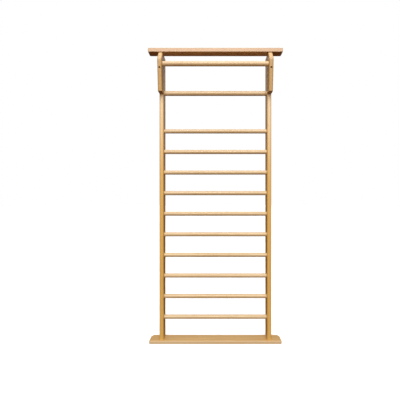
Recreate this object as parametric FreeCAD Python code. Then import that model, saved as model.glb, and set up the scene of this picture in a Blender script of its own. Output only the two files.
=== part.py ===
"""Wooden wall bars with a pull-up bar. Millimetres, +Z up, the front faces -Y.

The origin is on the floor, at the middle of the foot board's underside. The posts stand on the foot
board and carry the head board. The rungs are glued into blind bores in the posts, and the pull-up bar
into blind bores in two brackets on the posts' front edges.
"""
import FreeCAD
import Part
import math
import os

from FreeCAD import Vector

# Overall sizes
HEIGHT = 2200.0
CLEAR_WIDTH = 780.0
BASE_THICKNESS = 25.0
BASE_FRONT_REACH = 12.0
TOP_THICKNESS = 28.0
TOP_DEPTH = 76.0
TOP_FRONT_REACH = 50.0
BOARD_OVERHANG = 75.0

# Edges of the boards
BASE_BACK_CORNER = 34.0
BASE_FRONT_CORNER = 7.0
BASE_TOP_ROUND = 6.0
TOP_BACK_CORNER = 10.0
TOP_FRONT_CORNER = 3.0
BOARD_EASE = 1.5

# Posts
POST_WIDTH = 32.0
POST_DEPTH = 90.0
POST_FRONT_ROUND = 10.0
POST_BACK_ROUND = 4.0

# Rungs
RUNG_COUNT = 10
RUNG_DIAMETER = 32.0
FIRST_RUNG_RISE = 161.0
RUNG_SETBACK = 38.0
UPPER_RUNG_DIAMETER = 36.0
UPPER_RUNG_DROP = 279.0
UPPER_RUNG_GAP = 290.0
BORE_SKIN = 10.0
END_EASE = 2.0
GLUE_GAP = 0.1

# Pull-up bar and its brackets
BAR_DIAMETER = 36.0
BAR_DROP = 90.0
BAR_REACH = 50.0
BRACKET_HEIGHT = 293.0
BRACKET_TOP_REACH = 42.0
BRACKET_SLOPE_DEG = 38.0
BRACKET_ELBOW_DROP = 64.0
BRACKET_FOOT_REACH = 61.0
BRACKET_ELBOW_ROUND = 30.0
BRACKET_FRONT_ROUND = 8.0
BRACKET_EASE = 1.5

# Bracket bolt, sunk deep in the bracket's front edge and driven into the post
BOLT_DROP = 128.0
BOLT_DIAMETER = 8.0
BOLT_HEAD_DIAMETER = 13.0
BOLT_HEAD_HEIGHT = 8.0
BOLT_HEAD_EASE = 0.8
BOLT_SOCKET_WIDTH = 6.0
BOLT_SOCKET_DEPTH = 4.0
BOLT_SEAT_REACH = 45.0
BOLT_POST_DEPTH = 50.0
COUNTERBORE_GAP = 0.3
BOLT_GAP = 0.1

# Dowels between the brackets and the posts
DOWEL_DIAMETER = 10.0
DOWEL_LENGTH = 40.0
DOWEL_FOOT_RISE = 46.0
DOWEL_CHAMFER = 1.0

# Countersunk wood screws
SCREW_DIAMETER = 5.0
SCREW_HEAD_DIAMETER = 10.0
SCREW_HEAD_ANGLE_DEG = 90.0
SCREW_TIP_LENGTH = 7.0
SCREW_SINK = 1.0
SCREW_SOCKET_WIDTH = 3.0
SCREW_SOCKET_DEPTH = 2.0
SCREW_HOLE_GAP = 0.1
BOARD_SCREW_LENGTH = 90.0
LOCK_SCREW_PASS = 8.0

# Places that follow from the sizes above
BASE_DEPTH = BASE_FRONT_REACH + POST_DEPTH
BOARD_LENGTH = CLEAR_WIDTH + 2 * POST_WIDTH + 2 * BOARD_OVERHANG
BASE_FRONT_Y = -BASE_DEPTH / 2
POST_FRONT_Y = BASE_FRONT_Y + BASE_FRONT_REACH
POST_BACK_Y = POST_FRONT_Y + POST_DEPTH
TOP_FRONT_Y = POST_FRONT_Y - TOP_FRONT_REACH
TOP_BACK_Y = TOP_FRONT_Y + TOP_DEPTH
POST_BOTTOM_Z = BASE_THICKNESS
POST_TOP_Z = HEIGHT - TOP_THICKNESS
POST_X = (CLEAR_WIDTH + POST_WIDTH) / 2
BORE_DEPTH = POST_WIDTH - BORE_SKIN
BAR_LENGTH = CLEAR_WIDTH + 2 * BORE_DEPTH
RUNG_Y = POST_FRONT_Y + RUNG_SETBACK
FIRST_RUNG_Z = POST_BOTTOM_Z + FIRST_RUNG_RISE
UPPER_RUNG_Z = POST_TOP_Z - UPPER_RUNG_DROP
LAST_RUNG_Z = UPPER_RUNG_Z - UPPER_RUNG_GAP
RUNG_PITCH = (LAST_RUNG_Z - FIRST_RUNG_Z) / (RUNG_COUNT - 1)
RUNG_HEIGHTS = [FIRST_RUNG_Z + RUNG_PITCH * n for n in range(RUNG_COUNT)]
BAR_Y = POST_FRONT_Y - BAR_REACH
BAR_Z = POST_TOP_Z - BAR_DROP
BOLT_Z = POST_TOP_Z - BOLT_DROP
BOLT_SEAT_Y = POST_FRONT_Y - BOLT_SEAT_REACH
BRACKET_FOOT_Z = POST_TOP_Z - BRACKET_HEIGHT
ELBOW_Z = POST_TOP_Z - BRACKET_ELBOW_DROP
ELBOW_REACH = BRACKET_TOP_REACH + BRACKET_ELBOW_DROP * math.tan(math.radians(BRACKET_SLOPE_DEG))
DOWEL_HEIGHTS = ((BAR_Z + BOLT_Z) / 2, BRACKET_FOOT_Z + DOWEL_FOOT_RISE)
BAR_END_X = CLEAR_WIDTH / 2 + BORE_DEPTH / 2
RUNG_SCREW_LENGTH = POST_BACK_Y - SCREW_SINK - RUNG_Y + LOCK_SCREW_PASS
BAR_SCREW_LENGTH = POST_FRONT_Y - SCREW_SINK - BAR_Y + LOCK_SCREW_PASS
SCREW_CONE = (SCREW_HEAD_DIAMETER - SCREW_DIAMETER) / 2 / math.tan(math.radians(SCREW_HEAD_ANGLE_DEG / 2))

UP = Vector(0, 0, 1)
DOWN = Vector(0, 0, -1)
BACKWARD = Vector(0, 1, 0)
FORWARD = Vector(0, -1, 0)
SIDES = {"left": -1, "right": 1}
TOLERANCE = 1e-6


def save(shape, node):
    """Writes one node's solid or group of solids."""
    shape.exportStep("parts/%s.step" % node)


def near(value, wanted):
    """Whether two lengths are the same."""
    return abs(value - wanted) < TOLERANCE


def upright_edges(shape, y):
    """The upright edges at one depth."""
    found = []
    for edge in shape.Edges:
        box = edge.BoundBox
        if near(box.XLength, 0) and near(box.YMin, y) and near(box.YMax, y):
            found.append(edge)
    return found


def rim_edges(shape, z):
    """The edges at one height."""
    return [edge for edge in shape.Edges if near(edge.BoundBox.ZMin, z) and near(edge.BoundBox.ZMax, z)]


def hexagon(width, depth):
    """A hexagonal prism from zero up, for a driver's socket."""
    radius = width / 2 / math.cos(math.pi / 6)
    corners = [Vector(radius * math.cos(math.pi * n / 3), radius * math.sin(math.pi * n / 3), 0)
               for n in range(6)]
    return Part.Face(Part.makePolygon(corners + corners[:1])).extrude(Vector(0, 0, depth))


def pointed(shape, place, direction):
    """A copy of a shape made along +Z, moved to place and pointing along direction."""
    copy = shape.copy()
    copy.Placement = FreeCAD.Placement(place, FreeCAD.Rotation(UP, direction))
    return copy


def screw(length):
    """A countersunk wood screw along +Z: its head's face is at zero and its tip at length."""
    shank_end = length - SCREW_TIP_LENGTH
    head = Part.makeCone(SCREW_HEAD_DIAMETER / 2, SCREW_DIAMETER / 2, SCREW_CONE)
    shank = Part.makeCylinder(SCREW_DIAMETER / 2, shank_end - SCREW_CONE, Vector(0, 0, SCREW_CONE))
    tip = Part.makeCone(SCREW_DIAMETER / 2, 0, SCREW_TIP_LENGTH, Vector(0, 0, shank_end))
    socket = hexagon(SCREW_SOCKET_WIDTH, SCREW_SOCKET_DEPTH)
    return head.fuse([shank, tip]).removeSplitter().cut(socket)


def screw_hole(length):
    """The space for such a screw, and the sinking outside its head."""
    sinking = Part.makeCylinder(SCREW_HEAD_DIAMETER / 2, SCREW_SINK, Vector(0, 0, -SCREW_SINK))
    seat = Part.makeCone(SCREW_HEAD_DIAMETER / 2, SCREW_DIAMETER / 2, SCREW_CONE)
    pilot = Part.makeCylinder(SCREW_DIAMETER / 2 + SCREW_HOLE_GAP, length)
    return sinking.fuse([seat, pilot])


def screws(length, places, direction):
    """A group of identical screws."""
    return Part.makeCompound([pointed(screw(length), place, direction) for place in places])


def screw_holes(length, places, direction):
    """The spaces for a group of identical screws."""
    return [pointed(screw_hole(length), place, direction) for place in places]


def board_screw_places(depths, z):
    """The head faces of a board's screws, at the same depths on both sides."""
    return [Vector(side * POST_X, y, z) for side in SIDES.values() for y in depths]


def base_screw_places():
    """The head faces of the screws that rise through the foot board, at the quarters of the posts' depth."""
    quarter = POST_DEPTH / 4
    return board_screw_places((POST_FRONT_Y + quarter, POST_BACK_Y - quarter), SCREW_SINK)


def top_screw_places():
    """The head faces of the screws that go down through the head board, into each bracket and each post."""
    bracket_y = (TOP_FRONT_Y + POST_FRONT_Y) / 2
    post_y = (POST_FRONT_Y + min(TOP_BACK_Y, POST_BACK_Y)) / 2
    return board_screw_places((bracket_y, post_y), HEIGHT - SCREW_SINK)


def rung_screw_places(side):
    """The head faces of the screws in one post's back edge that lock the rungs."""
    heights = RUNG_HEIGHTS + [UPPER_RUNG_Z]
    return [Vector(side * BAR_END_X, POST_BACK_Y - SCREW_SINK, z) for z in heights]


def bar_screw_places():
    """The head faces of the screws in the brackets' back faces that lock the pull-up bar."""
    return [Vector(side * BAR_END_X, POST_FRONT_Y - SCREW_SINK, BAR_Z) for side in SIDES.values()]


def dowel_places(side):
    """The middles of the dowels in the joint between one bracket and its post."""
    return [Vector(side * POST_X, POST_FRONT_Y, z) for z in DOWEL_HEIGHTS]


def dowel_holes(side):
    """The space for the dowels of one bracket."""
    back = Vector(0, DOWEL_LENGTH / 2, 0)
    radius = DOWEL_DIAMETER / 2 + GLUE_GAP
    return [Part.makeCylinder(radius, DOWEL_LENGTH, place + back, FORWARD) for place in dowel_places(side)]


def blind_bore(side, y, z, diameter):
    """The bore for one end of a round bar, from the inner face of a post or bracket."""
    start = Vector(side * CLEAR_WIDTH / 2, y, z)
    return Part.makeCylinder(diameter / 2 + GLUE_GAP, BORE_DEPTH, start, Vector(side, 0, 0))


def bolt_hole(side):
    """The deep counterbore for a bracket bolt's head, and the hole for its shank."""
    mouth = Vector(side * POST_X, POST_FRONT_Y - ELBOW_REACH, BOLT_Z)
    seat = Vector(side * POST_X, BOLT_SEAT_Y, BOLT_Z)
    counterbore_radius = BOLT_HEAD_DIAMETER / 2 + COUNTERBORE_GAP
    counterbore = Part.makeCylinder(counterbore_radius, seat.y - mouth.y, mouth, BACKWARD)
    shank_radius = BOLT_DIAMETER / 2 + BOLT_GAP
    shank = Part.makeCylinder(shank_radius, BOLT_SEAT_REACH + BOLT_POST_DEPTH, seat, BACKWARD)
    return counterbore.fuse(shank)


def base_board():
    """The foot board, with rounded corners and its top edge rounded over."""
    corner = Vector(-BOARD_LENGTH / 2, BASE_FRONT_Y, 0)
    board = Part.makeBox(BOARD_LENGTH, BASE_DEPTH, BASE_THICKNESS, corner)
    board = board.makeFillet(BASE_BACK_CORNER, upright_edges(board, BASE_FRONT_Y + BASE_DEPTH))
    board = board.makeFillet(BASE_FRONT_CORNER, upright_edges(board, BASE_FRONT_Y))
    board = board.makeFillet(BASE_TOP_ROUND, rim_edges(board, BASE_THICKNESS))
    board = board.makeFillet(BOARD_EASE, rim_edges(board, 0))
    return board.cut(screw_holes(BOARD_SCREW_LENGTH, base_screw_places(), UP))


def top_board():
    """The head board, with square-cut ends and eased edges."""
    corner = Vector(-BOARD_LENGTH / 2, TOP_FRONT_Y, POST_TOP_Z)
    board = Part.makeBox(BOARD_LENGTH, TOP_DEPTH, TOP_THICKNESS, corner)
    board = board.makeFillet(TOP_BACK_CORNER, upright_edges(board, TOP_BACK_Y))
    board = board.makeFillet(TOP_FRONT_CORNER, upright_edges(board, TOP_FRONT_Y))
    board = board.makeFillet(BOARD_EASE, rim_edges(board, HEIGHT) + rim_edges(board, POST_TOP_Z))
    return board.cut(screw_holes(BOARD_SCREW_LENGTH, top_screw_places(), DOWN))


def post(side):
    """One upright post, with its blind bores and the holes of its screws, dowels and bolt."""
    corner = Vector(side * POST_X - POST_WIDTH / 2, POST_FRONT_Y, POST_BOTTOM_Z)
    blank = Part.makeBox(POST_WIDTH, POST_DEPTH, POST_TOP_Z - POST_BOTTOM_Z, corner)
    blank = blank.makeFillet(POST_FRONT_ROUND, upright_edges(blank, POST_FRONT_Y))
    blank = blank.makeFillet(POST_BACK_ROUND, upright_edges(blank, POST_BACK_Y))
    tools = [blind_bore(side, RUNG_Y, z, RUNG_DIAMETER) for z in RUNG_HEIGHTS]
    tools.append(blind_bore(side, RUNG_Y, UPPER_RUNG_Z, UPPER_RUNG_DIAMETER))
    tools += screw_holes(BOARD_SCREW_LENGTH, base_screw_places(), UP)
    tools += screw_holes(BOARD_SCREW_LENGTH, top_screw_places(), DOWN)
    tools += screw_holes(RUNG_SCREW_LENGTH, rung_screw_places(side), FORWARD)
    tools += dowel_holes(side)
    tools.append(bolt_hole(side))
    return blank.cut(tools)


def bracket(side):
    """One cheek that carries the pull-up bar in front of a post."""
    corners = [(0, 0), (BRACKET_TOP_REACH, 0), (ELBOW_REACH, BRACKET_ELBOW_DROP),
               (BRACKET_FOOT_REACH, BRACKET_HEIGHT), (0, BRACKET_HEIGHT)]
    inner_x = side * CLEAR_WIDTH / 2
    points = [Vector(inner_x, POST_FRONT_Y - reach, POST_TOP_Z - drop) for reach, drop in corners]
    outline = Part.Face(Part.makePolygon(points + points[:1]))
    blank = outline.extrude(Vector(side * POST_WIDTH, 0, 0))
    blank = blank.makeFillet(BRACKET_ELBOW_ROUND, rim_edges(blank, ELBOW_Z))
    blank = blank.makeFillet(BRACKET_FRONT_ROUND, bracket_front_edges(blank))
    foot = [edge for edge in rim_edges(blank, BRACKET_FOOT_Z) if not near(edge.BoundBox.YMin, POST_FRONT_Y)]
    blank = blank.makeFillet(BRACKET_EASE, foot)
    tools = [blind_bore(side, BAR_Y, BAR_Z, BAR_DIAMETER), bolt_hole(side)]
    tools += dowel_holes(side)
    tools += screw_holes(BAR_SCREW_LENGTH, bar_screw_places(), FORWARD)
    tools += screw_holes(BOARD_SCREW_LENGTH, top_screw_places(), DOWN)
    return blank.cut(tools)


def bracket_front_edges(blank):
    """The edges down both cheeks' fronts: the slope, the elbow and the taper."""
    found = []
    for edge in blank.Edges:
        box = edge.BoundBox
        in_front = box.YMax < POST_FRONT_Y - BRACKET_TOP_REACH + TOLERANCE
        if near(box.XLength, 0) and in_front:
            found.append(edge)
    return found


def round_bar(diameter, y, z):
    """A round bar that reaches the bottoms of both its bores, with its ends eased."""
    bar = Part.makeCylinder(diameter / 2, BAR_LENGTH, Vector(-BAR_LENGTH / 2, y, z), Vector(1, 0, 0))
    rims = [edge for edge in bar.Edges if near(edge.BoundBox.XLength, 0)]
    return bar.makeChamfer(END_EASE, rims)


def rung(diameter, z):
    """A rung with the holes of its two locking screws."""
    places = [place for side in SIDES.values() for place in rung_screw_places(side) if near(place.z, z)]
    return round_bar(diameter, RUNG_Y, z).cut(screw_holes(RUNG_SCREW_LENGTH, places, FORWARD))


def pull_up_bar():
    """The bar between the brackets, with the holes of its two locking screws."""
    holes = screw_holes(BAR_SCREW_LENGTH, bar_screw_places(), FORWARD)
    return round_bar(BAR_DIAMETER, BAR_Y, BAR_Z).cut(holes)


def dowel(place):
    """One wooden dowel with chamfered ends, across the joint between bracket and post."""
    start = place + Vector(0, DOWEL_LENGTH / 2, 0)
    blank = Part.makeCylinder(DOWEL_DIAMETER / 2, DOWEL_LENGTH, start, FORWARD)
    return blank.makeChamfer(DOWEL_CHAMFER, rim_circles(blank))


def rim_circles(shape):
    """The circles at the two ends of a cylinder that lies from front to back."""
    return [edge for edge in shape.Edges if near(edge.BoundBox.YLength, 0)]


def bolt(side):
    """One bracket bolt: a socket head on its seat, and a shank into the post."""
    head_start = Vector(side * POST_X, BOLT_SEAT_Y - BOLT_HEAD_HEIGHT, BOLT_Z)
    head = Part.makeCylinder(BOLT_HEAD_DIAMETER / 2, BOLT_HEAD_HEIGHT, head_start, BACKWARD)
    head = head.makeChamfer(BOLT_HEAD_EASE, rim_circles(head))
    seat = Vector(side * POST_X, BOLT_SEAT_Y, BOLT_Z)
    shank = Part.makeCylinder(BOLT_DIAMETER / 2, BOLT_SEAT_REACH + BOLT_POST_DEPTH, seat, BACKWARD)
    socket = pointed(hexagon(BOLT_SOCKET_WIDTH, BOLT_SOCKET_DEPTH), head_start, BACKWARD)
    return head.fuse(shank).removeSplitter().cut(socket)


def main():
    os.makedirs("parts", exist_ok=True)
    save(base_board(), "base_board")
    save(top_board(), "top_board")
    for name, side in SIDES.items():
        save(post(side), name + "_post")
        save(bracket(side), name + "_bar_bracket")
        save(screws(RUNG_SCREW_LENGTH, rung_screw_places(side), FORWARD), name + "_rung_screws")
    for number, z in enumerate(RUNG_HEIGHTS, 1):
        save(rung(RUNG_DIAMETER, z), "rung_%02d" % number)
    save(rung(UPPER_RUNG_DIAMETER, UPPER_RUNG_Z), "upper_rung")
    save(pull_up_bar(), "pull_up_bar")
    save(screws(BAR_SCREW_LENGTH, bar_screw_places(), FORWARD), "bar_screws")
    save(screws(BOARD_SCREW_LENGTH, base_screw_places(), UP), "base_screws")
    save(screws(BOARD_SCREW_LENGTH, top_screw_places(), DOWN), "top_screws")
    dowels = [dowel(place) for side in SIDES.values() for place in dowel_places(side)]
    save(Part.makeCompound(dowels), "bracket_dowels")
    save(Part.makeCompound([bolt(side) for side in SIDES.values()]), "bracket_bolts")


main()
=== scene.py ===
import math

import bpy
from mathutils import Matrix, Vector


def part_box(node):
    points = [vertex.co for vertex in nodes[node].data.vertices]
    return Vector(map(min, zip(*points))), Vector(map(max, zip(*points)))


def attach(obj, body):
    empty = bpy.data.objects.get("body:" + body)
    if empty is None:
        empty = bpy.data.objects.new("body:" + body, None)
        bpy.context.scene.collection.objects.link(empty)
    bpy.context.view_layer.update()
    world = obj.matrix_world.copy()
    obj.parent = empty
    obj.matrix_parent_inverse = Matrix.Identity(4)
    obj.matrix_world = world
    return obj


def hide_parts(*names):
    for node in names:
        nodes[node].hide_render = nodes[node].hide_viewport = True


# Wooden wall bars with a pull-up bar, in a plain white studio. Metres, the front faces -Y.

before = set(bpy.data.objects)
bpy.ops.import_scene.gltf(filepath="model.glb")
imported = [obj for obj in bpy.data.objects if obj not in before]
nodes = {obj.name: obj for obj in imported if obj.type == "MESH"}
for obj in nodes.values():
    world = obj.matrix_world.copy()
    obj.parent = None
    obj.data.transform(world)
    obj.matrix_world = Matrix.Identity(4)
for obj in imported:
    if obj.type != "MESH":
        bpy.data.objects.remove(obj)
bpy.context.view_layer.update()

MM = 0.001
RUNGS = ["rung_%02d" % number for number in range(1, 11)]
POSTS = ["left_post", "right_post"]
BRACKETS = ["left_bar_bracket", "right_bar_bracket"]

# Camera
EYE_HEIGHT = 1.12
EYE_DISTANCE = 2.26
LENS = 27.03
SENSOR = 36.0
SHIFT_SIDEWAYS = -0.0385
SHIFT_UP = -0.0137
SIGHT_END = 100.0

# Light, in watts and metres
SOFTBOX_COLOUR = (1.0, 0.97, 0.93)
KEY_PLACE = (0.0, -2.9, 2.3)
KEY_AIM = (0.0, 0.0, 1.5)
KEY_SIZE = (2.6, 1.2)
KEY_POWER = 38.0
TOP_PLACE = (0.0, -0.25, 3.4)
TOP_AIM = (0.0, -0.15, 2.0)
TOP_SIZE = (2.2, 0.6)
TOP_POWER = 13.0
FILL_STRENGTH = 1.85
FILL_TILT_DEG = 52.0
BACK_STRENGTH = 0.5
BACK_TILT_DEG = -45.0
SUN_SOFTNESS_DEG = 40.0
SKY_COLOUR = (1.0, 1.0, 1.0)
SKY_STRENGTH = 0.31
GROUND_COLOUR = (1.0, 0.38, 0.09)
GROUND_STRENGTH = 0.10
HORIZON_LOW = -0.15
HORIZON_HIGH = 0.5

# Floor
FLOOR_RADIUS = 30.0
FLOOR_SIDES = 96
FLOOR_DROP = 0.5 * MM
FLOOR_GREY = 0.86
FLOOR_ROUGHNESS = 0.9
FLOOR_GLOW = 0.5

# Timber tones, from the pale early wood to the darker late wood of a year's ring
GOLDEN = {"early": (0.82, 0.510, 0.145), "late": (0.64, 0.340, 0.072)}
CREAM = {"early": (0.79, 0.587, 0.335), "late": (0.61, 0.408, 0.200)}
TAWNY = {"early": (0.58, 0.345, 0.082), "late": (0.44, 0.222, 0.038)}
ROSY = {"early": (0.68, 0.440, 0.255), "late": (0.53, 0.315, 0.150)}
HONEY = {"early": (0.66, 0.390, 0.100), "late": (0.50, 0.255, 0.052)}
BEECH = {"early": (0.74, 0.520, 0.330), "late": (0.60, 0.390, 0.220)}

# Timber patterns: scales along and then across the fibres, and the windows in which each shows
GRAIN_TURNS = {
    "X": Matrix.Identity(3),
    "Y": Matrix.Rotation(math.radians(-90), 3, "Z"),
    "Z": Matrix.Rotation(math.radians(90), 3, "Y"),
}
SEED_COUNT = 97
SEED_STEP = 0.37
RING_WIDTH = 3.4 * MM
RING_DRIFT = 2.2
RING_DRIFT_SCALE = 0.23
LATE_RISE = (0.25, 0.92)
LATE_STOP = (1.0, 0.93)
SWAY_SCALE = (1.4, 7.0, 7.0)
SWAY_REACH = (0.0, 16.0 * MM, 16.0 * MM)
FIBRE_SCALE = (9.0, 700.0, 700.0)
FIBRE_WINDOW = (0.3, 0.7)
STREAK_SCALE = (1.6, 95.0, 95.0)
STREAK_WINDOW = (0.35, 0.7)
PORE_SCALE = (150.0, 2100.0, 2100.0)
PORE_WINDOW = (0.62, 0.74)
PATCH_SCALE = (1.1, 6.0, 6.0)
PATCH_WINDOW = (0.3, 0.7)
PATCH_GAIN = (0.7, 1.15)

# How much each pattern darkens or tints the wood
LATE_DEPTH = 0.55
FIBRE_DEPTH = 0.22
STREAK_DEPTH = 0.25
PORE_DEPTH = 0.45
PORE_SHADE = 0.45
WARM_WINDOW = (0.35, 0.68)
WARM_DEPTH = 0.35
WARM_TINT = (1.0, 0.93, 0.84)
END_WINDOW = (0.55, 0.9)
END_DEPTH = 0.6
END_TINT = (0.80, 0.66, 0.50)

# Age and wear, and painted light: a pale wash as painted sheen on the uprights' tops and as scuffs with
# painted light on the foot board's front
PAINTED_SHEEN_AND_SCUFF_COLOUR = (0.88, 0.700, 0.480)
# The painted sheen rises over these shares of the half length, from the middle to the top end
TOP_SHEEN_REACH = (0.05, 0.85)
# How the pale front wash, partly shoe scuffs and partly painted light, breaks into stretches
SCUFF_AND_LIGHT_WINDOW = (0.2, 0.75)
SCUFF_AND_LIGHT_GAIN = (0.75, 1.25)
FRONT_WINDOW = (-0.35, -0.95)
RUB_WIDTH = 6.0 * MM
RUB_WINDOW = (0.4, 0.62)
RUB_DEPTH = 0.35
RUB_GAIN = 1.12
HAND_BORDER = 0.35
HAND_REACH = (1.3, 0.6)
HAND_DEPTH = 0.5
HAND_TINT = (0.93, 0.87, 0.78)

# Lacquer
LACQUER_ROUGHNESS = 0.30
FIBRE_ROUGHNESS = 0.14
RUB_ROUGHNESS = 0.15
END_ROUGHNESS = 0.18
HAND_SMOOTHING = 0.12
COAT_WEIGHT = 0.2
COAT_ROUGHNESS = 0.18
RELIEF_HEIGHT = 0.25 * MM
RELIEF_STRENGTH = 0.35
LATE_RELIEF = 0.35
FIBRE_RELIEF = 0.6
PORE_RELIEF = 0.9

# Zinc plate
ZINC_DARK = (0.50, 0.50, 0.47)
ZINC_PALE = (0.72, 0.71, 0.66)
ZINC_CLOUD_SCALE = 260.0
ZINC_CLOUD_WINDOW = (0.3, 0.7)
ZINC_SCRATCH_SCALE = (2600.0, 300.0, 300.0)
ZINC_ROUGHNESS = 0.22
ZINC_SCRATCH_ROUGHNESS = 0.25
ZINC_SCRATCH_HEIGHT = 0.03 * MM
ZINC_SCRATCH_STRENGTH = 0.4

# Fasteners. A plain number is a share: of the head's or the dowel's radius, of the length under the head
# for a plain shank, of the pitch in a thread, and of the point's length and width in a taper.
SAME_PLACE = 1e-6
END_FACING = 0.5
SIDE_FACING = 0.1
SMOOTH_ANGLE_DEG = 35.0
NEARLY_CLOSED = 0.05
SOCKET_SIDES = 6
SOCKET_CONE = 0.2
THREAD_FLANK = 0.4
THREAD_CREST = 0.12
THREAD_ROOT = 0.08
SCREW_SIDES = 24
SCREW_RIM = 0.06
SCREW_RIM_EASE = 0.97
SCREW_CORE = 0.34
SCREW_CREST = 0.5
SCREW_SOCKET = 0.62
SCREW_SOCKET_DEPTH = 0.42
SCREW_PLAIN_LENGTH = 0.3
SCREW_PITCH = 2.2 * MM
SCREW_POINT = 6.0 * MM
SCREW_TAPER = ((0.5, 0.62), (0.35, 0.5))
SCREW_TURN = 0.7
BOLT_SIDES = 48
BOLT_EASE = 0.1
BOLT_SHANK = 0.615
BOLT_SHANK_CORE = 0.84
BOLT_HEAD_HEIGHT = 1.23
BOLT_UNDERSIDE = 0.96
BOLT_SOCKET = 0.92
BOLT_PLAIN_LENGTH = 0.45
BOLT_PITCH = 1.25 * MM
BOLT_TIP_LENGTH = 0.2
BOLT_TIP_WIDTH = 0.8
KNURL_WIDTH = 0.02
KNURL_DEPTH = 0.03
DOWEL_FLUTES = 14
DOWEL_CHAMFER = 0.25
FLUTE_WIDTH = 0.05
FLUTE_DEPTH = 0.08


def middle(node):
    """The middle of a CAD node's box."""
    low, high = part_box(node)
    return (low + high) / 2


# ---------------------------------------------------------------- studio

def place_camera():
    """A level camera in front of the bars, with the frame slid a little sideways and down."""
    data = bpy.data.cameras.new("studio_camera")
    data.lens = LENS
    data.sensor_width = SENSOR
    data.shift_x = SHIFT_SIDEWAYS
    data.shift_y = SHIFT_UP
    data.clip_end = SIGHT_END
    camera = bpy.data.objects.new("studio_camera", data)
    post_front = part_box("left_post")[0].y
    camera.location = (0.0, post_front - EYE_DISTANCE, EYE_HEIGHT)
    camera.rotation_euler = (math.radians(90), 0.0, 0.0)
    bpy.context.scene.collection.objects.link(camera)
    bpy.context.scene.camera = camera


def hang_softbox(name, place, aim, size, power):
    """A broad soft light, which the lacquer mirrors as a pale sheen."""
    data = bpy.data.lights.new(name, "AREA")
    data.shape = "RECTANGLE"
    data.size, data.size_y = size
    data.energy = power
    data.color = SOFTBOX_COLOUR
    box = bpy.data.objects.new(name, data)
    box.location = place
    box.rotation_euler = (Vector(aim) - Vector(place)).to_track_quat("-Z", "Y").to_euler()
    bpy.context.scene.collection.objects.link(box)


def hang_soft_sun(name, strength, tilt_deg):
    """A very soft light from one side of the sky, which reaches everything evenly."""
    data = bpy.data.lights.new(name, "SUN")
    data.energy = strength
    data.angle = math.radians(SUN_SOFTNESS_DEG)
    sun = bpy.data.objects.new(name, data)
    sun.rotation_euler = (math.radians(tilt_deg), 0.0, 0.0)
    bpy.context.scene.collection.objects.link(sun)


def light_room():
    """A white room to look at, whose light comes mostly from above."""
    world = bpy.data.worlds.new("white_room")
    world.use_nodes = True
    bpy.context.scene.world = world
    tree = world.node_tree
    tree.nodes.clear()
    direction = tree.nodes.new("ShaderNodeTexCoord")
    split = tree.nodes.new("ShaderNodeSeparateXYZ")
    height = tree.nodes.new("ShaderNodeMapRange")
    height.inputs["From Min"].default_value = HORIZON_LOW
    height.inputs["From Max"].default_value = HORIZON_HIGH
    fade = tree.nodes.new("ShaderNodeMix")
    fade.data_type = "RGBA"
    fade.inputs["A"].default_value = (*(GROUND_STRENGTH * c for c in GROUND_COLOUR), 1.0)
    fade.inputs["B"].default_value = (*(SKY_STRENGTH * c for c in SKY_COLOUR), 1.0)
    light = tree.nodes.new("ShaderNodeBackground")
    white = tree.nodes.new("ShaderNodeBackground")
    white.inputs["Color"].default_value = (1.0, 1.0, 1.0, 1.0)
    seen = tree.nodes.new("ShaderNodeLightPath")
    mix = tree.nodes.new("ShaderNodeMixShader")
    out = tree.nodes.new("ShaderNodeOutputWorld")
    tree.links.new(direction.outputs["Generated"], split.inputs[0])
    tree.links.new(split.outputs["Z"], height.inputs["Value"])
    tree.links.new(height.outputs["Result"], fade.inputs["Factor"])
    tree.links.new(fade.outputs["Result"], light.inputs["Color"])
    tree.links.new(seen.outputs["Is Camera Ray"], mix.inputs[0])
    tree.links.new(light.outputs[0], mix.inputs[1])
    tree.links.new(white.outputs[0], mix.inputs[2])
    tree.links.new(mix.outputs[0], out.inputs[0])


def lay_floor():
    """A pale floor that glows a little, takes the shadows and throws no light back."""
    bpy.ops.object.select_all(action="DESELECT")
    bpy.ops.mesh.primitive_circle_add(vertices=FLOOR_SIDES, radius=FLOOR_RADIUS, fill_type="NGON")
    floor = bpy.context.object
    floor.name = "studio_floor"
    floor.location.z = -FLOOR_DROP
    floor.visible_diffuse = False
    floor.visible_glossy = False
    paint = bpy.data.materials.new("pale_floor")
    paint.use_nodes = True
    shader = paint.node_tree.nodes["Principled BSDF"]
    shader.inputs["Base Color"].default_value = (FLOOR_GREY, FLOOR_GREY, FLOOR_GREY, 1.0)
    shader.inputs["Roughness"].default_value = FLOOR_ROUGHNESS
    shader.inputs["Specular IOR Level"].default_value = 0.0
    shader.inputs["Emission Color"].default_value = (1.0, 1.0, 1.0, 1.0)
    shader.inputs["Emission Strength"].default_value = FLOOR_GLOW
    floor.data.materials.append(paint)


# ---------------------------------------------------------------- materials

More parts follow.
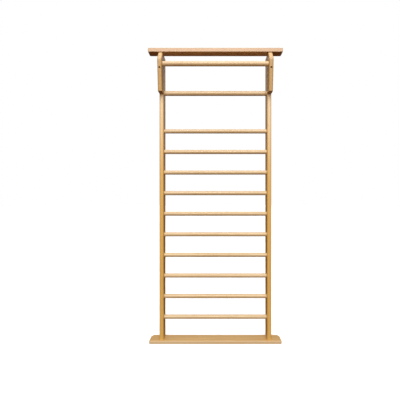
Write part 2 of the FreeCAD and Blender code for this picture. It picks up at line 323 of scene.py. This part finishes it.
class Paint:
    """A material's node tree, with short calls for the nodes that the finishes use."""

    def __init__(self, name):
        self.material = bpy.data.materials.new(name)
        self.material.use_nodes = True
        self.tree = self.material.node_tree
        self.shader = self.tree.nodes["Principled BSDF"]
        self.coordinates = self.new("ShaderNodeTexCoord")

    def new(self, kind):
        return self.tree.nodes.new(kind)

    def put(self, value, socket):
        """Links a socket to socket, or sets a plain value on it."""
        if isinstance(value, bpy.types.NodeSocket):
            self.tree.links.new(value, socket)
        else:
            socket.default_value = value

    def math(self, operation, first, second=0.0, clamp=False):
        node = self.new("ShaderNodeMath")
        node.operation = operation
        node.use_clamp = clamp
        self.put(first, node.inputs[0])
        self.put(second, node.inputs[1])
        return node.outputs[0]

    def total(self, base, *shares):
        """Base plus each (pattern, share) product."""
        for pattern, share in shares:
            base = self.math("ADD", base, self.math("MULTIPLY", pattern, share))
        return base

    def vector(self, operation, first, second=(0.0, 0.0, 0.0)):
        node = self.new("ShaderNodeVectorMath")
        node.operation = operation
        self.put(first, node.inputs[0])
        self.put(second, node.inputs[1])
        return node.outputs["Value"] if operation == "LENGTH" else node.outputs["Vector"]

    def mapping(self, vector, location=(0, 0, 0), rotation=(0, 0, 0), scale=(1, 1, 1)):
        node = self.new("ShaderNodeMapping")
        self.put(vector, node.inputs["Vector"])
        node.inputs["Location"].default_value = location
        node.inputs["Rotation"].default_value = rotation
        node.inputs["Scale"].default_value = scale
        return node.outputs["Vector"]

    def noise(self, vector, scale=1.0, detail=2.0, roughness=0.5, colour=False):
        node = self.new("ShaderNodeTexNoise")
        self.put(vector, node.inputs["Vector"])
        node.inputs["Scale"].default_value = scale
        node.inputs["Detail"].default_value = detail
        node.inputs["Roughness"].default_value = roughness
        return node.outputs["Color"] if colour else node.outputs["Fac"]

    def ranged(self, value, low, high, to_low=0.0, to_high=1.0):
        """Value from low to high, eased onto to_low to to_high."""
        node = self.new("ShaderNodeMapRange")
        node.interpolation_type = "SMOOTHSTEP"
        self.put(value, node.inputs["Value"])
        node.inputs["From Min"].default_value = low
        node.inputs["From Max"].default_value = high
        node.inputs["To Min"].default_value = to_low
        node.inputs["To Max"].default_value = to_high
        return node.outputs["Result"]

    def ramp(self, value, stops):
        """A colour ramp from (position, colour) stops."""
        node = self.new("ShaderNodeValToRGB")
        self.put(value, node.inputs["Fac"])
        for element, (position, colour) in zip(node.color_ramp.elements, stops):
            element.position = position
            element.color = (*colour, 1.0)
        return node.outputs["Color"]

    def mix(self, factor, first, second, blend="MIX"):
        node = self.new("ShaderNodeMix")
        node.data_type = "RGBA"
        node.blend_type = blend
        self.put(factor, node.inputs["Factor"])
        self.put(first if not isinstance(first, tuple) else (*first, 1.0), node.inputs["A"])
        self.put(second if not isinstance(second, tuple) else (*second, 1.0), node.inputs["B"])
        return node.outputs["Result"]

    def wash(self, colour, pattern, depth, tint, blend="MIX"):
        """Lays a tint over a colour, as deep as depth where the pattern is full."""
        return self.mix(self.math("MULTIPLY", pattern, depth), colour, tint, blend)

    def split(self, vector):
        node = self.new("ShaderNodeSeparateXYZ")
        self.put(vector, node.inputs[0])
        return node.outputs

    def join(self, x, y, z):
        node = self.new("ShaderNodeCombineXYZ")
        for socket, value in zip(node.inputs, (x, y, z)):
            self.put(value, socket)
        return node.outputs[0]

    def bump(self, height, distance, strength):
        node = self.new("ShaderNodeBump")
        node.inputs["Strength"].default_value = strength
        node.inputs["Distance"].default_value = distance
        self.put(height, node.inputs["Height"])
        self.put(node.outputs["Normal"], self.shader.inputs["Normal"])


def shaded(colour, gain):
    """A colour made darker or lighter, and never past white."""
    return tuple(min(1.0, gain * c) for c in colour)


def grain_seed(name):
    """A stretch of the noise for each timber, always the same for the same name."""
    return sum(ord(letter) * place for place, letter in enumerate(name, 3)) % SEED_COUNT * SEED_STEP


def growth_rings(paint, along):
    """Late wood, from 0 to 1, in rings round the tree's centre line, which wanders."""
    sway = paint.noise(paint.mapping(along, scale=SWAY_SCALE), colour=True)
    sway = paint.vector("MULTIPLY", paint.vector("SUBTRACT", sway, (0.5, 0.5, 0.5)), SWAY_REACH)
    _, across, through = paint.split(paint.vector("ADD", along, sway))
    radius = paint.vector("LENGTH", paint.join(0.0, across, through))
    years = paint.math("DIVIDE", radius, RING_WIDTH)
    years = paint.total(years, (paint.noise(years, scale=RING_DRIFT_SCALE, detail=1.0), RING_DRIFT))
    season = paint.math("FRACT", years)
    return paint.math("MULTIPLY", paint.ranged(season, *LATE_RISE), paint.ranged(season, *LATE_STOP))


def wood_patterns(paint, along):
    """The patterns that a timber's colour, gloss and relief are made of, each from 0 to 1."""
    pores = paint.noise(paint.mapping(along, scale=PORE_SCALE), detail=1.0)
    return {
        "late": growth_rings(paint, along),
        "fibre": paint.noise(paint.mapping(along, scale=FIBRE_SCALE), detail=3.0, roughness=0.6),
        "streak": paint.noise(paint.mapping(along, scale=STREAK_SCALE)),
        "patch": paint.noise(paint.mapping(along, scale=PATCH_SCALE), detail=3.0),
        "pores": paint.ranged(pores, *PORE_WINDOW),
    }


def clean_wood(paint, patterns, tone):
    """The colour of unworn wood: rings, fibres, streaks, pores and broad warm patches."""
    fibres = paint.ranged(patterns["fibre"], *FIBRE_WINDOW)
    streaks = paint.ranged(patterns["streak"], *STREAK_WINDOW)
    depth = paint.total(0.0, (patterns["late"], LATE_DEPTH), (fibres, FIBRE_DEPTH), (streaks, STREAK_DEPTH))
    gain = paint.ranged(patterns["patch"], *PATCH_WINDOW, *PATCH_GAIN)
    colour = paint.mix(paint.math("MULTIPLY", depth, gain, clamp=True), tone["early"], tone["late"])
    colour = paint.wash(colour, patterns["pores"], PORE_DEPTH, shaded(tone["late"], PORE_SHADE))
    warmth = paint.ranged(patterns["patch"], *WARM_WINDOW)
    return paint.wash(colour, warmth, WARM_DEPTH, WARM_TINT, "MULTIPLY")


def rubbed_edges(paint, offset, half, streak):
    """Where a piece's edges are rubbed: close to two faces at once, in broken stretches."""
    dx, dy, dz = paint.split(paint.vector("SUBTRACT", tuple(half), paint.vector("ABSOLUTE", offset)))
    edge = paint.math("MINIMUM", paint.math("MAXIMUM", dx, dy), paint.math("MAXIMUM", dy, dz))
    edge = paint.math("MINIMUM", edge, paint.math("MAXIMUM", dx, dz))
    return paint.math("MULTIPLY", paint.ranged(edge, RUB_WIDTH, 0.0), paint.ranged(streak, *RUB_WINDOW))


def scuffed_front(paint, facing, streak):
    """Where a piece's front face is paler: partly shoe scuffs, partly painted light on the face that the
    lamps reach.
    """
    front = paint.ranged(facing, *FRONT_WINDOW)
    return paint.math("MULTIPLY", front, paint.ranged(streak, *SCUFF_AND_LIGHT_WINDOW, *SCUFF_AND_LIGHT_GAIN))


def touched_stretch(paint, offset, half_length, patch):
    """The middle of a rung or bar, where hands hold it, with an uneven border."""
    reach = paint.math("ABSOLUTE", paint.split(offset)[0])
    reach = paint.total(reach, (paint.math("SUBTRACT", patch, 0.5), HAND_BORDER))
    return paint.ranged(reach, *(half_length * share for share in HAND_REACH))


def timber(name, grain, low, high, heart, tone, handled=0.0, paled=0.0, scuffed=0.0):
    """Clear-lacquered wood, solid through a piece.

    grain is the axis of the fibres. heart is where the tree's centre lay in the piece's cross section,
    from its middle. handled is the half length of the stretch that hands have polished, or 0.
    paled is how strongly a painted sheen makes the end with the higher coordinate paler, from 0
    to 1. scuffed is how far the front face is made paler, partly as shoe scuffs and partly as
    painted light, from 0 to 1.
    """
    paint = Paint(name)
    spot = paint.coordinates.outputs["Object"]
    centre = (low + high) / 2
    half = (high - low) / 2
    axis = "XYZ".index(grain)
    turn = GRAIN_TURNS[grain]
    place = turn @ -centre + Vector((grain_seed(name), *heart))
    patterns = wood_patterns(paint, paint.mapping(spot, place, turn.to_euler()))
    offset = paint.mapping(spot, -centre)
    facings = paint.split(paint.coordinates.outputs["Normal"])
    end = paint.ranged(paint.math("ABSOLUTE", facings[axis]), *END_WINDOW)
    rub = rubbed_edges(paint, offset, half, patterns["streak"])

    colour = clean_wood(paint, patterns, tone)
    # Painted sheen: the wood is washed paler towards its top end, where the lacquer catches the lamps
    if paled:
        upper = paint.ranged(paint.split(offset)[axis], *(half[axis] * share for share in TOP_SHEEN_REACH))
        colour = paint.wash(colour, upper, paled, PAINTED_SHEEN_AND_SCUFF_COLOUR)
    # The front face washed paler in broken stretches: partly shoe scuffs, partly painted light
    if scuffed:
        front = scuffed_front(paint, facings[1], patterns["streak"])
        colour = paint.wash(colour, front, scuffed, PAINTED_SHEEN_AND_SCUFF_COLOUR)
    colour = paint.wash(colour, end, END_DEPTH, END_TINT, "MULTIPLY")
    colour = paint.wash(colour, rub, RUB_DEPTH, shaded(tone["early"], RUB_GAIN))

    fibre = patterns["fibre"]
    roughness = paint.total(LACQUER_ROUGHNESS, (fibre, FIBRE_ROUGHNESS), (rub, RUB_ROUGHNESS))
    roughness = paint.total(roughness, (end, END_ROUGHNESS))
    if handled:
        touched = touched_stretch(paint, offset, handled, patterns["patch"])
        colour = paint.wash(colour, touched, HAND_DEPTH, HAND_TINT, "MULTIPLY")
        roughness = paint.total(roughness, (touched, -HAND_SMOOTHING))
    paint.put(colour, paint.shader.inputs["Base Color"])
    paint.put(roughness, paint.shader.inputs["Roughness"])
    paint.shader.inputs["Coat Weight"].default_value = COAT_WEIGHT
    paint.shader.inputs["Coat Roughness"].default_value = COAT_ROUGHNESS
    height = paint.total(0.0, (patterns["late"], LATE_RELIEF), (fibre, FIBRE_RELIEF))
    height = paint.total(height, (patterns["pores"], -PORE_RELIEF))
    paint.bump(height, RELIEF_HEIGHT, RELIEF_STRENGTH)
    return paint.material


def zinc_steel(name):
    """Bright zinc plate with faint blotches and fine scratches."""
    paint = Paint(name)
    spot = paint.coordinates.outputs["Object"]
    cloud = paint.noise(spot, scale=ZINC_CLOUD_SCALE, detail=3.0)
    scratch = paint.noise(paint.mapping(spot, scale=ZINC_SCRATCH_SCALE))
    colour = paint.ramp(cloud, zip(ZINC_CLOUD_WINDOW, (ZINC_DARK, ZINC_PALE)))
    roughness = paint.total(ZINC_ROUGHNESS, (scratch, ZINC_SCRATCH_ROUGHNESS))
    paint.put(colour, paint.shader.inputs["Base Color"])
    paint.put(roughness, paint.shader.inputs["Roughness"])
    paint.shader.inputs["Metallic"].default_value = 1.0
    paint.bump(scratch, ZINC_SCRATCH_HEIGHT, ZINC_SCRATCH_STRENGTH)
    return paint.material


def finish_in_timber(node, name, grain, heart, tone, **wear_and_sheen):
    """Gives a CAD node timber of its own."""
    material = timber(name, grain, *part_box(node), heart, tone, **wear_and_sheen)
    for slot in nodes[node].material_slots:
        slot.material = material


def finish_boards():
    """The foot board, paler along its front from scuffs and painted light, and the head board."""
    finish_in_timber("base_board", "base_timber", "X", heart=(0.02, -0.06), tone=HONEY, scuffed=0.5)
    finish_in_timber("top_board", "top_timber", "X", heart=(0.03, 0.07), tone=ROSY)


def finish_uprights():
    """The posts and the brackets, with a painted sheen that makes them paler towards the top."""
    for side, node in enumerate(POSTS):
        heart = (0.05, 0.03 - 0.05 * side)
        finish_in_timber(node, node + "_timber", "Z", heart, GOLDEN, paled=0.5)
    for node in BRACKETS:
        finish_in_timber(node, node + "_timber", "Z", heart=(0.09, 0.03), tone=TAWNY, paled=0.3)


def finish_rounds():
    """The rungs and the pull-up bar, polished by hands, with the heart elsewhere in each rung."""
    for number, node in enumerate(RUNGS):
        heart = (0.018 + 0.004 * (number % 4), 0.012 * (number % 3) - 0.01)
        finish_in_timber(node, node + "_timber", "X", heart, CREAM, handled=0.22)
    finish_in_timber("upper_rung", "upper_rung_timber", "X", (0.03, 0.01), CREAM, handled=0.25)
    finish_in_timber("pull_up_bar", "bar_timber", "X", (0.025, -0.02), CREAM, handled=0.30)


# ---------------------------------------------------------------- screws, bolts and dowels

def add_cylinder(name, sides, radius, depth, place=(0, 0, 0)):
    """A cylinder along Z, and nothing else selected."""
    bpy.ops.object.select_all(action="DESELECT")
    bpy.ops.mesh.primitive_cylinder_add(vertices=sides, radius=radius, depth=depth, location=place)
    piece = bpy.context.object
    piece.name = name
    bpy.ops.object.transform_apply(location=True, rotation=True, scale=True)
    return piece


def pick_faces(piece, chosen):
    """Goes into edit mode with only the faces selected whose centre and normal pass the test."""
    bpy.ops.object.mode_set(mode="EDIT")
    bpy.ops.mesh.select_mode(type="FACE")
    bpy.ops.mesh.select_all(action="DESELECT")
    bpy.ops.object.mode_set(mode="OBJECT")
    for face in piece.data.polygons:
        face.select = chosen(face.center, face.normal)
    bpy.ops.object.mode_set(mode="EDIT")


def on_top(centre, normal):
    """Picks the end face that looks along +Z."""
    return normal.z > END_FACING


def on_bottom(centre, normal):
    """Picks the end face that looks along -Z."""
    return normal.z < -END_FACING


def widen(scale):
    """Scales the selected face across Z."""
    bpy.ops.transform.resize(value=(scale, scale, 1))


def grow(steps):
    """Extrudes the selected end face along Z through (rise, scale) steps."""
    for rise, scale in steps:
        bpy.ops.mesh.extrude_region_move(TRANSFORM_OT_translate={"value": (0, 0, rise)})
        widen(scale)


def thread_steps(core, crest, pitch, length):
    """Rings that stand for a thread: up to the crest and back to the core, once every pitch."""
    flank = pitch * THREAD_FLANK
    up = [(flank, crest / core), (pitch * THREAD_CREST, 1.0)]
    down = [(flank, core / crest), (pitch * THREAD_ROOT, 1.0)]
    return (up + down) * int(length / pitch)


def draw_tip(piece, length, scale):
    """Pulls the end that was grown last out to the full length, and leaves edit mode."""
    bpy.ops.object.mode_set(mode="OBJECT")
    tip = max(vertex.co.z for vertex in piece.data.vertices)
    pick_faces(piece, lambda centre, normal: centre.z > tip - SAME_PLACE)
    grow([(length - tip, scale)])
    bpy.ops.object.mode_set(mode="OBJECT")


def cut_socket(piece, across, depth):
    """Sinks a hexagon socket into the end at zero, with a cone at its bottom."""
    radius = across / 2 / math.cos(math.pi / SOCKET_SIDES)
    cutter = add_cylinder("socket_cutter", SOCKET_SIDES, radius, depth * 2)
    pick_faces(cutter, on_top)
    grow([(across * SOCKET_CONE, NEARLY_CLOSED)])
    bpy.ops.object.mode_set(mode="OBJECT")
    bpy.ops.object.select_all(action="DESELECT")
    piece.select_set(True)
    bpy.context.view_layer.objects.active = piece
    cut = piece.modifiers.new("socket", "BOOLEAN")
    cut.operation = "DIFFERENCE"
    cut.solver = "EXACT"
    cut.object = cutter
    bpy.ops.object.modifier_apply(modifier=cut.name)
    bpy.data.objects.remove(cutter)


def press_grooves(piece, sides, width, depth, inner_radius=0.0, upper_end=math.inf):
    """Presses a groove into every second strip round a piece, beyond inner_radius and under upper_end."""
    step = math.tau / sides

    def on_strip(centre, normal):
        around = round((math.atan2(centre.y, centre.x) - step / 2) / step)
        within = math.hypot(centre.x, centre.y) > inner_radius and centre.z < upper_end
        return abs(normal.z) < SIDE_FACING and around % 2 == 0 and within

    pick_faces(piece, on_strip)
    bpy.ops.mesh.inset(thickness=width, depth=-depth, use_individual=True)
    bpy.ops.object.mode_set(mode="OBJECT")


def finish_shape(piece):
    """Merges doubled corners, turns the faces outwards and smooths the round parts."""
    bpy.ops.object.mode_set(mode="EDIT")
    bpy.ops.mesh.select_all(action="SELECT")
    bpy.ops.mesh.remove_doubles(threshold=SAME_PLACE)
    bpy.ops.mesh.normals_make_consistent(inside=False)
    bpy.ops.object.mode_set(mode="OBJECT")
    bpy.ops.object.shade_smooth_by_angle(angle=math.radians(SMOOTH_ANGLE_DEG))


def wood_screw(name, head_radius, length):
    """A countersunk screw along +Z with its head's face at zero, threaded up to its point."""
    core = head_radius * SCREW_CORE
    crest = head_radius * SCREW_CREST
    cone = head_radius - crest
    rim = head_radius * SCREW_RIM
    plain = (length - cone) * SCREW_PLAIN_LENGTH
    threaded = length - cone - plain - SCREW_POINT
    piece = add_cylinder(name, SCREW_SIDES, head_radius * SCREW_RIM_EASE, rim, (0, 0, rim / 2))
    pick_faces(piece, on_top)
    widen(1 / SCREW_RIM_EASE)
    grow([(cone - rim, crest / head_radius), (plain, 1.0), (rim, core / crest)])
    grow(thread_steps(core, crest, SCREW_PITCH, threaded - rim))
    grow([(SCREW_POINT * rise, scale) for rise, scale in SCREW_TAPER])
    draw_tip(piece, length, NEARLY_CLOSED)
    cut_socket(piece, head_radius * SCREW_SOCKET, head_radius * SCREW_SOCKET_DEPTH)
    finish_shape(piece)
    return piece


def socket_bolt(name, head_radius, head_height, length):
    """A knurled socket-head bolt along +Z with its head's top at zero."""
    shank = head_radius * BOLT_SHANK
    core = shank * BOLT_SHANK_CORE
    ease = head_radius * BOLT_EASE
    underside = ease / 2
    plain = (length - head_height) * BOLT_PLAIN_LENGTH
    threaded = length - head_height - plain - ease - head_radius * BOLT_TIP_LENGTH
    piece = add_cylinder(name, BOLT_SIDES, head_radius - ease, ease, (0, 0, ease / 2))
    pick_faces(piece, on_top)
    widen(head_radius / (head_radius - ease))
    grow([(head_height - ease - underside, 1.0), (underside, BOLT_UNDERSIDE)])
    grow([(0.0, shank / head_radius / BOLT_UNDERSIDE), (plain, 1.0), (ease, core / shank)])
    grow(thread_steps(core, shank, BOLT_PITCH, threaded))
    draw_tip(piece, length, BOLT_TIP_WIDTH)
    press_grooves(piece, BOLT_SIDES, head_radius * KNURL_WIDTH, head_radius * KNURL_DEPTH,
                  head_radius * (1 - KNURL_DEPTH), head_height)
    cut_socket(piece, head_radius * BOLT_SOCKET, head_height / 2)
    finish_shape(piece)
    return piece


def fluted_dowel(name, radius, length):
    """A dowel along Z about zero, with chamfered ends and glue flutes along it."""
    chamfer = radius * DOWEL_CHAMFER
    piece = add_cylinder(name, DOWEL_FLUTES * 2, radius, length - 2 * chamfer)
    pick_faces(piece, on_top)
    grow([(chamfer, 1 - DOWEL_CHAMFER)])
    bpy.ops.object.mode_set(mode="OBJECT")
    pick_faces(piece, on_bottom)
    grow([(-chamfer, 1 - DOWEL_CHAMFER)])
    bpy.ops.object.mode_set(mode="OBJECT")
    press_grooves(piece, DOWEL_FLUTES * 2, radius * FLUTE_WIDTH, radius * FLUTE_DEPTH)
    finish_shape(piece)
    return piece


def set_copies(pattern, places, direction, node, material):
    """Puts a copy of the pattern at each place, turned from +Z to direction, in place of a CAD node."""
    turn = Vector((0, 0, 1)).rotation_difference(Vector(direction)).to_matrix().to_4x4()
    for number, place in enumerate(places, 1):
        copy = pattern.copy()
        copy.data = pattern.data.copy()
        copy.name = "%s_%02d" % (node, number)
        copy.data.name = copy.name
        bpy.context.scene.collection.objects.link(copy)
        spin = Matrix.Rotation(number * SCREW_TURN, 4, "Z")
        copy.data.transform(Matrix.Translation(place) @ turn @ spin)
        copy.data.materials.clear()
        copy.data.materials.append(material)
        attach(copy, "root")
        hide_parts(node)
    bpy.data.objects.remove(pattern)


def fit_rung_screws(head_radius, plate):
    """The screws that lock the rungs, in the posts' back edges."""
    for node in ("left_rung_screws", "right_rung_screws"):
        low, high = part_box(node)
        places = [Vector((middle(node).x, high.y, middle(rung).z)) for rung in RUNGS + ["upper_rung"]]
        pattern = wood_screw(node + "_pattern", head_radius, high.y - low.y)
        set_copies(pattern, places, (0, -1, 0), node, plate)


def fit_board_screws(head_radius, plate):
    """The screws through the foot board and the head board."""
    for node, direction in (("base_screws", 1), ("top_screws", -1)):
        low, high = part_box(node)
        head_z = low.z if direction > 0 else high.z
        places = [Vector((middle(post).x, y, head_z)) for post in POSTS
                  for y in (low.y + head_radius, high.y - head_radius)]
        pattern = wood_screw(node + "_pattern", head_radius, high.z - low.z)
        set_copies(pattern, places, (0, 0, direction), node, plate)


def fit_bar_screws(head_radius, plate):
    """The screws that lock the pull-up bar, in the brackets' back faces."""
    low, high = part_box("bar_screws")
    height = middle("bar_screws").z
    places = [Vector((x, high.y, height)) for x in (low.x + head_radius, high.x - head_radius)]
    pattern = wood_screw("bar_screws_pattern", head_radius, high.y - low.y)
    set_copies(pattern, places, (0, -1, 0), "bar_screws", plate)


def fit_bracket_bolts(plate):
    """The bolts deep in the brackets' front edges."""
    low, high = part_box("bracket_bolts")
    head_radius = (high.z - low.z) / 2
    head_height = head_radius * BOLT_HEAD_HEIGHT
    places = [Vector((middle(post).x, low.y, middle("bracket_bolts").z)) for post in POSTS]
    pattern = socket_bolt("bracket_bolts_pattern", head_radius, head_height, high.y - low.y)
    set_copies(pattern, places, (0, 1, 0), "bracket_bolts", plate)


def fit_dowels():
    """The glued beech dowels between the brackets and the posts."""
    low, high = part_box("bracket_dowels")
    radius = high.x - middle("right_post").x
    places = [Vector((middle(post).x, middle("bracket_dowels").y, z)) for post in POSTS
              for z in (low.z + radius, high.z - radius)]
    beech = timber("dowel_timber", "Y", low, high, heart=(0.02, 0.0), tone=BEECH)
    pattern = fluted_dowel("bracket_dowels_pattern", radius, high.y - low.y)
    set_copies(pattern, places, (0, 1, 0), "bracket_dowels", beech)


def fit_fasteners():
    """All screws, bolts and dowels, with the screws' heads as wide as the CAD's."""
    screw_low, screw_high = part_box("left_rung_screws")
    head_radius = (screw_high.x - screw_low.x) / 2
    plate = zinc_steel("zinc_plate")
    fit_rung_screws(head_radius, plate)
    fit_board_screws(head_radius, plate)
    fit_bar_screws(head_radius, plate)
    fit_bracket_bolts(plate)
    fit_dowels()


bpy.context.scene.view_settings.view_transform = "Standard"
place_camera()
hang_softbox("key_light", KEY_PLACE, KEY_AIM, KEY_SIZE, KEY_POWER)
hang_softbox("top_light", TOP_PLACE, TOP_AIM, TOP_SIZE, TOP_POWER)
hang_soft_sun("fill_light", FILL_STRENGTH, FILL_TILT_DEG)
hang_soft_sun("back_light", BACK_STRENGTH, BACK_TILT_DEG)
light_room()
lay_floor()
finish_boards()
finish_uprights()
finish_rounds()
fit_fasteners()
